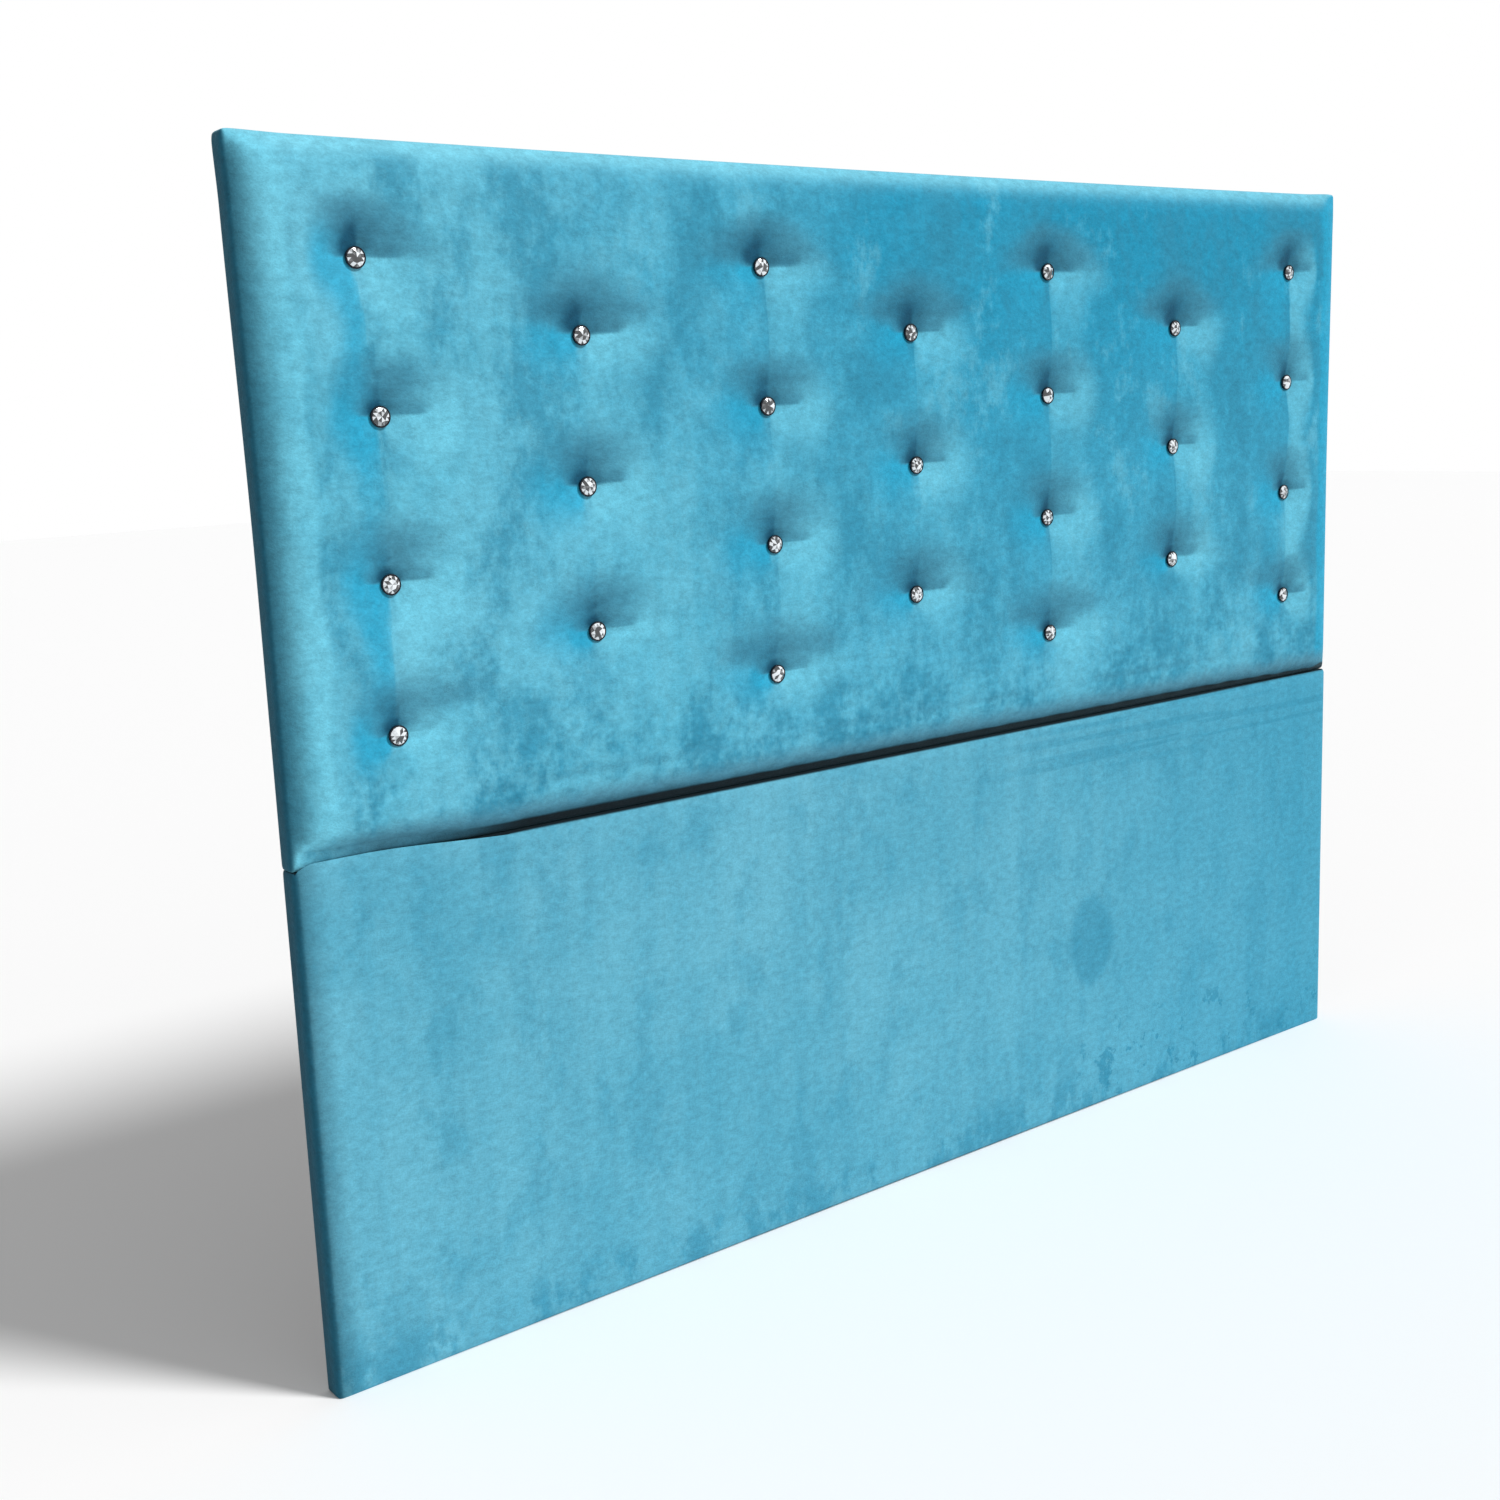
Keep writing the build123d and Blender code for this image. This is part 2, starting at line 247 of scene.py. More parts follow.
# Painted shade and shadow: above each button, on the roll along the seam, on the left side face,
# on the left rim of the lower panel and in the gap between the panels.
VELVET_FAN_SHADE = paint(54, 120, 144)
VELVET_HALF_SHADE = paint(74, 130, 151)
VELVET_DARK_SHADE = paint(12, 72, 98)
VELVET_FRONT_SHADE = paint(26, 96, 120)
VELVET_SHADE = paint(12, 60, 78)
VELVET_GAP_SHADOW = paint(3, 12, 18)
SHEEN_TINT = paint(150, 215, 235)
NOISE_MIDDLE = 0.5
CLOUD_EDGES = (0.38, 0.6)
SMEAR_STRETCH = (1, 1, 0.6)
DRAG_STRETCH = (1, 1, 0.07)
DRAG_EDGES = (0.42, 0.66)
PILE_STRETCH = (0.6, 1, 1)
PILE_EDGES = (0.3, 0.7)
PILE_HEIGHT = 0.5 * MM
PILE_FLOOR, PILE_GAIN = 0.95, 0.3
CRUSH_EDGES = (0.35, 0.65)
CRUSH_LOSS = 0.22
SIDE_LEAN, SIDE_SHARE = (-0.12, -0.9), 0.95
SIDE_FRONT = (0.014, -0.01)


def velvet(name, pale, mid, streaks):
    """The velvet with its nap and grain, and the colour of one panel's plain face."""
    finish = Finish(
        name,
        Roughness=0.8,
        Specular_IOR_Level=0.15,
        Sheen_Weight=0.2,
        Sheen_Roughness=0.4,
        Sheen_Tint=SHEEN_TINT,
    )
    place = finish.place()
    finish.spot = finish.axes(place)
    normal = finish.node("ShaderNodeNewGeometry", {}, output="Normal")
    finish.lean = finish.axes(normal)

    upright = finish.stretch(place, SMEAR_STRETCH)
    dragged = finish.stretch(place, DRAG_STRETCH)
    level = finish.stretch(place, PILE_STRETCH)
    finish.clouds = finish.noise(place, scale=3.4, detail=5, roughness=0.62)
    finish.smears = finish.noise(upright, scale=13, detail=6, roughness=0.7)
    drag = finish.noise(dragged, scale=18, detail=5, roughness=0.7)
    finish.grain = finish.noise(level, scale=480, detail=2, roughness=0.8)
    finish.crush = finish.noise(level, scale=120, detail=4, roughness=0.8)

    finish.body = finish.mix(finish.clouds.between(*CLOUD_EDGES), mid, pale)
    brush(finish, drag.between(*DRAG_EDGES), VELVET_CRUSHED, share=streaks)
    return finish


def brush(finish, mask, colour, share=1):
    """Lays a share of another colour over the body of a velvet, for marks of the nap and for
    painted light and shade.
    """
    finish.body = finish.mix(mask * share, finish.body, colour)


def shade_side(finish):
    """Painted shade on the left side face: dark behind and a little lighter towards the front
    edge.
    """
    depth = finish.spot[1]
    side = finish.lean[0].between(*SIDE_LEAN) * SIDE_SHARE
    brush(finish, side, VELVET_SHADE)
    brush(finish, side * depth.between(*SIDE_FRONT), VELVET_FRONT_SHADE, share=0.85)


def weave(finish):
    """Adds the grain of the pile and gives the body to the shader."""
    pile = finish.grain.between(*PILE_EDGES)
    shade = PILE_FLOOR + pile * PILE_GAIN - finish.crush.between(*CRUSH_EDGES) * CRUSH_LOSS
    grey = finish.node("ShaderNodeCombineColor", {"Red": shade, "Green": shade, "Blue": shade})
    body = finish.mix(1.0, finish.body, grey, blend="MULTIPLY")
    finish.feed(Base_Color=body, Normal=finish.bump(pile, PILE_HEIGHT, strength=0.4))
    return finish.material


# %% [markdown]
# ## The nap and the painted light and shade of the tufted panel
#
# On the upper panel painted shading deepens the colour to the right and upwards, painted
# light and shade turn with the slopes round each button, and painted shade on the roll along
# the seam falls through dull blue to a painted shadow in the gap.
# Painting all this by hand on an unwrapped skin would be slow and would blur close up. So
# each mark is a mask, made of places, slopes and noise, and brushed over the last one.
# The pairs below say where a mask is 0 and where it is 1. A slope is a part of the normal,
# and the others are places in metres or levels of a noise.

# %% Brush the nap and the painted light and shade of the upper panel
UPPER_STREAKS = 0.15
UPPER_DRIFT, CLIMB_DRIFT = 1.2, 0.4
DEEPER_RIGHT, DEEPER_UP = (-0.75, 0.2), (0.2, 1.2)
SMEARED_DARK, SMEARED_PALE = (0.45, 0.64), (0.48, 0.34)
ABOVE_ROLL, ROLL_SMEARS, ROLL_CRUSH = (0.66, 0.58), (0.4, 0.6), (0.3, 0.7)
CRUSHED_LEAST, CRUSHED_MORE = 0.3, 0.6
UP_SLOPE = (0.1, 0.8)
RIGHT_SLOPE, LEFT_SLOPE, EITHER_SLOPE = (0.035, 0.12), (-0.015, -0.1), (-0.04, 0.03)
FAN_SLOPE, DARK_SLOPE = (-0.005, -0.09), (-0.06, -0.17)
DARK_LEAST, DARK_MORE = 0.55, 0.4
ON_FACE = (0.57, 0.58)
FRONT_HALF, OFF_RIGHT_SIDE = (0.006, 0.0), (0.6, 0.3)
ROLL_FROM_LEFT, GAP_FROM_LEFT = (-0.8, -0.7), (-0.68, -0.54)
DULL_HEIGHT, SHADE_HEIGHT, HEIGHT_WOBBLE = (0.568, 0.545), (0.55, 0.532), 0.02
GAP_HEIGHT, GAP_DEPTH = (0.541, 0.537), (-0.0105, -0.0085)


def brush_slopes(finish, lean_x, lean_z, on_face):
    """Painted light and shade on the slopes of each tuft, and painted light on the roll along the
    top.
    """
    brush(finish, lean_z.between(*UP_SLOPE), VELVET_UPWARD_LIGHT, share=0.7)
    brush(finish, lean_x.between(*RIGHT_SLOPE), VELVET_LIT_DEEP, share=0.75)
    brush(finish, lean_x.between(*LEFT_SLOPE), VELVET_LIT, share=0.5)
    brush(finish, lean_z.between(*FAN_SLOPE) * on_face, VELVET_FAN_SHADE, share=0.7)
    darkness = DARK_LEAST + lean_x.between(*EITHER_SLOPE) * DARK_MORE
    brush(finish, lean_z.between(*DARK_SLOPE) * on_face, VELVET_DARK_SHADE, share=darkness)


def brush_seam(finish, lean_x, on_face):
    """Painted shade on the roll along the seam, dull and then dark, and a painted shadow in the
    gap.
    """
    x, y, z = finish.spot
    in_front = y.between(*FRONT_HALF) * lean_x.between(*OFF_RIGHT_SIDE)
    on_roll = (1 - on_face) * x.between(*ROLL_FROM_LEFT) * in_front
    hang = z + (finish.smears - NOISE_MIDDLE) * HEIGHT_WOBBLE
    brush(finish, hang.between(*DULL_HEIGHT) * on_roll, VELVET_HALF_SHADE, share=0.85)
    brush(finish, hang.between(*SHADE_HEIGHT) * on_roll, VELVET_SHADE, share=0.8)
    in_gap = z.between(*GAP_HEIGHT) * y.between(*GAP_DEPTH) * in_front
    brush(finish, in_gap * x.between(*GAP_FROM_LEFT), VELVET_GAP_SHADOW)


def upper_nap_and_light():
    """The nap of the tufted panel, with its painted light, shade and shadow."""
    finish = velvet("velvet_upper", VELVET_PALE, VELVET_MID, UPPER_STREAKS)
    x, _, z = finish.spot
    lean_x, _, lean_z = finish.lean
    drift = (finish.clouds - NOISE_MIDDLE) * UPPER_DRIFT
    climb = z + drift * CLIMB_DRIFT
    # Painted shading: deeper towards the right and the top, for the angle the velvet is seen and
    # lit at.
    brush(finish, (x + drift).between(*DEEPER_RIGHT) * climb.between(*DEEPER_UP), VELVET_SHADED_DEEP)
    brush(finish, finish.smears.between(*SMEARED_DARK), VELVET_CRUSHED, share=0.7)
    brush(finish, finish.smears.between(*SMEARED_PALE), VELVET_PALE, share=0.45)
    above_roll = z.between(*ABOVE_ROLL) * finish.smears.between(*ROLL_SMEARS)
    crushed = CRUSHED_LEAST + finish.crush.between(*ROLL_CRUSH) * CRUSHED_MORE
    brush(finish, above_roll, VELVET_CRUSHED, share=crushed)
    on_face = z.between(*ON_FACE)
    # Painted light and shade on the slopes, painted shade and shadow along the seam and on the
    # side face.
    brush_slopes(finish, lean_x, lean_z, on_face)
    brush_seam(finish, lean_x, on_face)
    shade_side(finish)
    return weave(finish)


upper_velvet = upper_nap_and_light()
print("upper velvet brushed")


# %% [markdown]
# ## The nap and the painted shade of the plain panel
#
# The flat lower panel has no slopes to paint light and shade on. Its marks are what hands
# and cartons left: streaks, an oval, fine lines under the seam and torn-looking marks near
# the floor. Painted shading deepens it to the right, painted shade darkens its left rim and
# side face, and a painted shadow blackens its top in the gap. All are brushed on in the same
# way, each with a mask of its own.

# %% Brush the nap and the painted shade of the lower panel
LOWER_PALE = paint(96, 168, 190)
LOWER_MID = paint(82, 158, 182)
LOWER_STREAKS = 0.18
LOWER_DRIFT = 0.8
LOWER_RIGHT, LOWER_SMEARS = (-0.1, 0.9), (0.52, 0.62)
OVAL_MIDDLE, OVAL_HALF = (0.292, 0.231), (0.042, 0.062)
OVAL_RIM, OVAL_WOBBLE = (1.3, 0.6), 1.6
COMB_STRETCH, COMB_LINES = (0.03, 1, 1), (0.5, 0.6)
COMB_RIGHT, COMB_HEIGHT = (0.0, 0.3), (0.44, 0.47)
TORN_SPOTS, TORN_RIGHT, TORN_HEIGHT = (0.57, 0.62), (0.15, 0.35), (0.14, 0.08)
SCUFF_SMEARS, SCUFF_HEIGHT = (0.47, 0.55), (0.07, 0.02)
LEFT_RIM = (-0.765, -0.795)
TOP_SLOPE, TOP_HEIGHT = (0.5, 0.85), (0.5, 0.52)


def oval_mark(finish, x, z):
    """A soft oval where something leaned on the nap."""
    aside = (x - OVAL_MIDDLE[0]) * (1 / OVAL_HALF[0])
    above = (z - OVAL_MIDDLE[1]) * (1 / OVAL_HALF[1])
    wobble = (finish.smears - NOISE_MIDDLE) * OVAL_WOBBLE
    return (aside * aside + above * above + wobble).between(*OVAL_RIM)


def lower_nap_and_shade():
    """The nap of the plain panel, with its painted shade and shadow."""
    finish = velvet("velvet_lower", LOWER_PALE, LOWER_MID, LOWER_STREAKS)
    x, _, z = finish.spot
    drift = (finish.clouds - NOISE_MIDDLE) * LOWER_DRIFT
    # Painted shading: deeper towards the right, for the angle the velvet is seen and lit at.
    brush(finish, (x + drift).between(*LOWER_RIGHT), VELVET_SHADED_DEEP, share=0.5)
    brush(finish, finish.smears.between(*LOWER_SMEARS), VELVET_CRUSHED, share=0.25)
    brush(finish, oval_mark(finish, x, z), VELVET_CRUSHED, share=0.55)

    combed = finish.noise(finish.stretch(finish.place(), COMB_STRETCH), scale=95, detail=2)
    lines = combed.between(*COMB_LINES) * x.between(*COMB_RIGHT) * z.between(*COMB_HEIGHT)
    brush(finish, lines, VELVET_CRUSHED, share=0.35)
    torn = finish.noise(finish.place(), scale=26, detail=4, roughness=0.7)
    spots = torn.between(*TORN_SPOTS) * x.between(*TORN_RIGHT) * z.between(*TORN_HEIGHT)
    brush(finish, spots, VELVET_CRUSHED, share=0.7)
    scuffed = finish.smears.between(*SCUFF_SMEARS) * z.between(*SCUFF_HEIGHT)
    brush(finish, scuffed, VELVET_CRUSHED, share=0.5)

    # Painted shade on the left rim, a painted shadow on the top of the roll in the gap under the
    # upper panel, and painted shade on the side face.
    brush(finish, x.between(*LEFT_RIM), VELVET_SHADE, share=0.45)
    on_top = finish.lean[2].between(*TOP_SLOPE) * z.between(*TOP_HEIGHT)
    brush(finish, on_top, VELVET_GAP_SHADOW)
    shade_side(finish)
    return weave(finish)


lower_velvet = lower_nap_and_shade()
print("lower velvet brushed")


# %% [markdown]
# ## Helpers for modelling by hand
#
# An operator works on whatever is selected, just as under a modeller's hands. So each
# piece starts with nothing selected, and its points are then chosen in code by where they
# are.

# %% Selecting, and finishing a piece


def let_go():
    """Selects nothing, in object mode."""
    if bpy.context.object and bpy.context.object.mode != "OBJECT":
        bpy.ops.object.mode_set(mode="OBJECT")
    bpy.ops.object.select_all(action="DESELECT")


def hold(piece):
    """Makes one piece the active and only selected one."""
    let_go()
    bpy.context.view_layer.objects.active = piece
    piece.select_set(True)


def points(piece):
    """The places of a piece's points, as an array."""
    found = np.zeros(len(piece.data.vertices) * 3)
    piece.data.vertices.foreach_get("co", found)
    return found.reshape(-1, 3)


def put_points(piece, places):
    """Moves every point of a piece to a new place."""
    piece.data.vertices.foreach_set("co", np.ascontiguousarray(places, np.float32).ravel())
    piece.data.update()


def choose(piece, mask):
    """Goes into edit mode with the chosen points selected."""
    hold(piece)
    mesh = piece.data
    for part in (mesh.edges, mesh.polygons):
        part.foreach_set("select", np.zeros(len(part), bool))
    mesh.vertices.foreach_set("select", np.ascontiguousarray(mask, bool))
    bpy.ops.object.mode_set(mode="EDIT")
    bpy.ops.mesh.select_mode(type="VERT")


def block(name, low, high):
    """A box between two corners, with its place in its mesh."""
    let_go()
    low, high = Vector(low), Vector(high)
    bpy.ops.mesh.primitive_cube_add(size=1, location=(low + high) / 2)
    piece = bpy.context.object
    piece.name = piece.data.name = name
    piece.scale = high - low
    bpy.ops.object.transform_apply(location=True, rotation=True, scale=True)
    return piece


def ready(piece, slot, *nodes, material=None):
    """Gives a finished piece its body and material, and hides the nodes that it stands for. Its
    slot is not used.
    """
    let_go()
    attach(piece, "root")
    if nodes:
        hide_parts(*nodes)
    if material:
        piece.data.materials.clear()
        piece.data.materials.append(material)
    print(piece.name, "points", len(piece.data.vertices), "faces", len(piece.data.polygons))


print("modelling helpers ready")


# %% [markdown]
# ## Where the buttons are
#
# The exact solids say where each button sits. A column of crystals is one node, so its
# points fall in groups by height, and the middle of each group is one button.

# %% Find the buttons
BUTTON_GAP = 40 * MM
COLUMNS = sum(name.startswith("crystals_column_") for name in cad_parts)


def button_middles(node):
    """The (x, z) of each button in one column, from the top down."""
    places = points(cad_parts[node])
    places = places[np.argsort(-places[:, 2])]
    breaks = np.nonzero(-np.diff(places[:, 2]) > BUTTON_GAP)[0] + 1
    groups = np.split(places, breaks)
    return [tuple((g.min(0) + g.max(0))[[0, 2]] / 2) for g in groups]


columns = [button_middles(f"crystals_column_{n + 1}") for n in range(COLUMNS)]
buttons = [place for column in columns for place in column]
print("buttons", [len(column) for column in columns])


# %% [markdown]
# ## Padding a panel
#
# A padded panel starts as a plain box of its own size. Its front edges are rolled with a
# bevel, wide where the foam is thick. Then the whole skin is made again as a fine even
# net by a voxel remesh, because cloth needs points all over and a box has eight. The back
# is cut out of the skin, as on the real panel, where the velvet is only folded round the
# frame and stapled.

# %% Start a padded panel from a box
NET = 6 * MM
TIGHT_CORNER = 3 * MM
ROLL_STEPS = 6
RETURN_WIDTH = 40 * MM


def bevel_edges(piece, wanted, width, steps):
    """Bevels the edges whose two ends pass a test."""
    choose(piece, np.zeros(len(piece.data.vertices)))
    bpy.ops.mesh.select_mode(type="EDGE")
    bpy.ops.object.mode_set(mode="OBJECT")
    places = points(piece)
    for edge in piece.data.edges:
        edge.select = bool(wanted(places[edge.vertices[0]], places[edge.vertices[1]]))
    bpy.ops.object.mode_set(mode="EDIT")
    bpy.ops.mesh.bevel(offset=width, segments=steps, affect="EDGES")
    bpy.ops.object.mode_set(mode="OBJECT")


def padded_box(name, node, roll, base_roll, top_corner):
    """The skin of one panel, with rolled edges, an even net of points and an open back."""
    low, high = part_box(node)
    piece = block(name, low, high)
    near = 0.01 * MM

    def front_edge(a, b):
        at_front = max(a[1], b[1]) < low.y + near
        return at_front and (roll == base_roll or max(a[2], b[2]) > low.z + near)

    def corner_edge(a, b, level):
        return abs(a[1] - b[1]) > roll / 2 and abs(a[2] - level) < roll

    def base_edge(a, b):
        return max(a[2], b[2]) < low.z + near and min(a[1], b[1]) < high.y - near

    bevel_edges(piece, front_edge, roll, ROLL_STEPS)
    for level, radius in ((high.z, top_corner), (low.z, TIGHT_CORNER)):
        bevel_edges(piece, lambda a, b: corner_edge(a, b, level), radius, ROLL_STEPS // 2)
    if base_roll < roll:
        bevel_edges(piece, base_edge, base_roll, ROLL_STEPS // 2)
    hold(piece)
    piece.data.remesh_voxel_size = NET
    bpy.ops.object.voxel_remesh()
    places = points(piece)
    middle = (low + high) / 2
    inside = np.abs(places[:, 0] - middle.x) < (high.x - low.x) / 2 - RETURN_WIDTH
    inside &= np.abs(places[:, 2] - middle.z) < (high.z - low.z) / 2 - RETURN_WIDTH
    choose(piece, inside & (places[:, 1] > high.y - NET / 2))
    bpy.ops.mesh.delete(type="VERT")
    let_go()
    print(name, "net points", len(piece.data.vertices))
    return piece


UPPER_LOW, UPPER_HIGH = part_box("upper_cover")
UPPER_ROLL = 22 * MM
UPPER_CORNER = 8 * MM
upper = padded_box("upper_panel_velvet", "upper_cover", UPPER_ROLL, UPPER_ROLL, UPPER_CORNER)


# %% [markdown]
# ## Tufting
#
# Each button pulls a round seat of velvet in towards the board. In edit mode that is one
# move of the seat's points with proportional editing, whose sharp falloff gives the steep
# flank and soft rim of a tuft.

# %% Draw in the tufts
TUFT_DEPTH = 8 * MM
TUFT_REACH = 82 * MM
SEAT_RADIUS = 9.5 * MM


def sink(piece, mask, depth, reach):
    """Pushes the chosen front points in, and their neighbours with them."""
    choose(piece, mask)
    bpy.ops.transform.translate(
        value=(0, depth, 0),
        use_proportional_edit=True,
        proportional_edit_falloff="SHARP",
        proportional_size=reach,
    )
    let_go()


def near_button(places, x, z):
    """Which points lie in the round seat of a button."""
    return np.hypot(places[:, 0] - x, places[:, 2] - z) < SEAT_RADIUS


for x, z in buttons:
    places = points(upper)
    seat = near_button(places, x, z) & (places[:, 1] < UPPER_LOW.y + TUFT_DEPTH)
    sink(upper, seat, TUFT_DEPTH, TUFT_REACH)
print("tufted")


# %% [markdown]
# ## Letting the velvet settle
#
# The drawn shape is still too regular. A cloth simulation over 20 frames lets the foam
# press outwards everywhere and the velvet pull tight between its seats, so the cushions
# between the buttons swell a little. The seats and what wraps round the frame are pinned,
# gravity is off, and no point may move more than a set distance. The modifier is then
# applied, so the shape is plain mesh. One subdivision afterwards gives the net twice as
# many rows, fine enough for a fold.

# %% Simulate the cloth
SETTLE_FRAMES = 20
PRESSURE = 2
SETTLE_CAP = 1.5 * MM
CLOTH_QUALITY = 3
PULL_STIFFNESS, SHEAR_STIFFNESS = 15, 5
SMOOTHING_PASSES, SMOOTHING_SHARE = 24, 0.5
HELD_DEPTH = 14 * MM


def settle(piece, held, pressure, cap):
    """Runs the cloth simulation on a piece and applies its result."""
    start = points(piece)
    pins = piece.vertex_groups.new(name="held")
    pins.add(np.nonzero(held)[0].tolist(), 1, "REPLACE")
    cloth = piece.modifiers.new("Cloth", "CLOTH")
    sheet = cloth.settings
    sheet.quality = CLOTH_QUALITY
    sheet.tension_stiffness = sheet.compression_stiffness = PULL_STIFFNESS
    sheet.shear_stiffness = SHEAR_STIFFNESS
    sheet.vertex_group_mass = pins.name
    sheet.use_pressure = True
    sheet.uniform_pressure_force = pressure
    sheet.effector_weights.gravity = 0
    cloth.point_cache.frame_end = SETTLE_FRAMES
    for number in range(1, SETTLE_FRAMES + 1):
        SCENE.frame_set(number)
    hold(piece)
    bpy.ops.object.modifier_apply(modifier=cloth.name)
    piece.vertex_groups.clear()
    moved = points(piece) - start
    far = np.linalg.norm(moved, axis=1, keepdims=True)
    print(piece.name, "moved up to", far.max() / MM, "mm, on average", far.mean() / MM)
    put_points(piece, start + moved * np.minimum(1, cap / np.maximum(far, cap)))
    choose(piece, ~held)
    bpy.ops.mesh.vertices_smooth(factor=SMOOTHING_SHARE, repeat=SMOOTHING_PASSES)
    let_go()


def subdivide(piece):
    """Gives a piece one level of subdivision."""
    hold(piece)
    finer = piece.modifiers.new("finer", "SUBSURF")
    finer.levels = finer.render_levels = 1
    bpy.ops.object.modifier_apply(modifier=finer.name)


places = points(upper)
held = places[:, 1] > UPPER_LOW.y + HELD_DEPTH
for x, z in buttons:
    held |= near_button(places, x, z)
settle(upper, held, PRESSURE, SETTLE_CAP)
subdivide(upper)


# %% [markdown]
# ## Folds between the buttons
#
# Tight velvet folds along the shortest way between two buttons, straight down each column.
# A shorter fold leaves each button sideways. They are fine, so they are drawn after the
# subdivision, each a narrow valley made by pushing a line of points in.

# %% Draw the folds
FOLD_DEPTH = 0.7 * MM
FOLD_REACH = 30 * MM
FOLD_HALF_WIDTH = 1.6 * MM
FOLD_END = 22 * MM
SIDE_FOLD_DEPTH = 0.8 * MM
SIDE_FOLD_REACH = 18 * MM
SIDE_FOLD_LENGTH = 40 * MM


def near_line(places, start, end):
    """Which points lie in the valley along a line in the front face."""
    flat = places[:, [0, 2]]
    start, end = np.array(start), np.array(end)
    along = end - start
    share = np.clip((flat - start) @ along / (along @ along), 0, 1)
    away = np.linalg.norm(flat - start - share[:, None] * along, axis=1)
    return away < FOLD_HALF_WIDTH


places = points(upper)
front = places[:, 1] < UPPER_LOW.y + HELD_DEPTH
folds = np.zeros(len(places), bool)
for column in columns:
    for (x1, z1), (x2, z2) in zip(column, column[1:]):
        tip = FOLD_END / (z1 - z2)
        start = (x1 + (x2 - x1) * tip, z1 - FOLD_END)
        end = (x2 - (x2 - x1) * tip, z2 + FOLD_END)
        folds |= near_line(places, start, end)
sink(upper, folds & front, FOLD_DEPTH, FOLD_REACH)

folds = np.zeros(len(places), bool)
for x, z in buttons:
    folds |= near_line(places, (x + SEAT_RADIUS, z), (x + SIDE_FOLD_LENGTH, z))
    folds |= near_line(places, (x - SEAT_RADIUS, z), (x - SIDE_FOLD_LENGTH / 2, z))
sink(upper, folds & front, SIDE_FOLD_DEPTH, SIDE_FOLD_REACH)
print("folded")


# %% [markdown]
# ## The seam between the panels
#
# The seam rises at the left corner and sinks at the right one. Between them the front of
# the upper panel stands off the lower one by a few millimetres, a little unevenly, and a
# dark gap shows. No simulation would find these wanderings of one real seam, so they are
# written as smooth steps along it. Only the front of the covers is lifted, because behind
# it the board and the rail are straight.

# %% Shape the seam
SEAM_LEFT_RISE = 12 * MM
SEAM_LEFT_TURN = (-0.66, -0.92)
SEAM_CORNER_DROP = 0.5
SEAM_CORNER_TURN = (-0.975, -1.0)
SEAM_RIGHT_DROP = 5 * MM
SEAM_RIGHT_TURN = (0.56, 1.0)
SEAM_GAP = 5 * MM
SEAM_GAP_TURN = (-0.78, -0.62)
SEAM_GAP_EASE = 1.5 * MM
SEAM_GAP_EASE_TURN = (-0.48, -0.36)
SEAM_REACH = 50 * MM
SEAM_DEPTHS = (-5 * MM, -7.5 * MM)
PUCKER = 0.5 * MM
PUCKER_WAVES = (70 * MM, 43 * MM)


def smooth(values, low, high):
    """0 at low, 1 at high and a smooth rise between."""
    share = np.clip((values - low) / (high - low), 0, 1)
    return share * share * (3 - 2 * share)


def seam_rise(x):
    """How far the seam stands above its straight line at each x."""
    share = x / UPPER_HIGH.x
    left = SEAM_LEFT_RISE * smooth(share, *SEAM_LEFT_TURN)
    left *= 1 - SEAM_CORNER_DROP * smooth(share, *SEAM_CORNER_TURN)
    return left - SEAM_RIGHT_DROP * smooth(share, *SEAM_RIGHT_TURN)


def seam_gap(x):
    """How far the upper panel stands off the lower one at each x."""
    share = x / UPPER_HIGH.x
    puckers = sum(np.sin(2 * np.pi * x / wave) for wave in PUCKER_WAVES)
    gap = SEAM_GAP - SEAM_GAP_EASE * smooth(share, *SEAM_GAP_EASE_TURN) + PUCKER * puckers
    return gap * smooth(share, *SEAM_GAP_TURN)


def seam_shift(x, y, z, gap):
    """How far points near the seam move up: only in front, clear of the board behind."""
    near = smooth(y, *SEAM_DEPTHS) * smooth(np.abs(z - UPPER_LOW.z), SEAM_REACH, 0)
    return near * (seam_rise(x) + gap)


print("seam shaped, its left corner up", seam_rise(-UPPER_HIGH.x) / MM, "mm")


# %% [markdown]
# ## The outline of the upper cover
#
# Stretched velvet pulls the foam in most halfway along an edge and leaves the corners
# proud, so no outline is quite straight. Each of these shifts fades out a few centimetres
# from its edge, and all of them are added up and made in one move.

# %% Pull the edges in and open the seam
SIDE_SWELL = 0.5 * MM
SIDE_FLARE, FLARE_START = 4.5 * MM, 0.4
TOP_RISE = 3 * MM
TOP_PULL = 3 * MM
EAR = 1.5 * MM
CROWN_DROP = 3 * MM
CROWN_RUN = 55 * MM
EAR_REACH = 60 * MM
RIM = 60 * MM

places = points(upper)
x, y, z = places.T
width = UPPER_HIGH.x
height = UPPER_HIGH.z - UPPER_LOW.z
climb = (z - UPPER_LOW.z) / height
side_rim = smooth(np.abs(x), width - RIM, width)
top_rim = smooth(z, UPPER_HIGH.z - RIM, UPPER_HIGH.z)
flare = SIDE_SWELL + SIDE_FLARE * smooth(climb, FLARE_START, 1)
shift = np.zeros_like(places)
shift[:, 0] += np.sign(x) * side_rim * flare
shift[:, 2] += top_rim * (TOP_RISE - TOP_PULL * (1 - (x / width) ** 2))
corner = smooth(np.hypot(np.abs(x) - width, z - UPPER_HIGH.z), EAR_REACH, 0)
shift[:, 0] += np.sign(x) * corner * EAR
shift[:, 2] += corner * EAR
inner = width - UPPER_ROLL
front = smooth(y, 0, UPPER_LOW.y)
shift[:, 1] += front * CROWN_DROP * smooth(np.abs(x), inner - CROWN_RUN, width) ** 2
shift[:, 2] += seam_shift(x, y, z, seam_gap(x))
put_points(upper, places + shift)
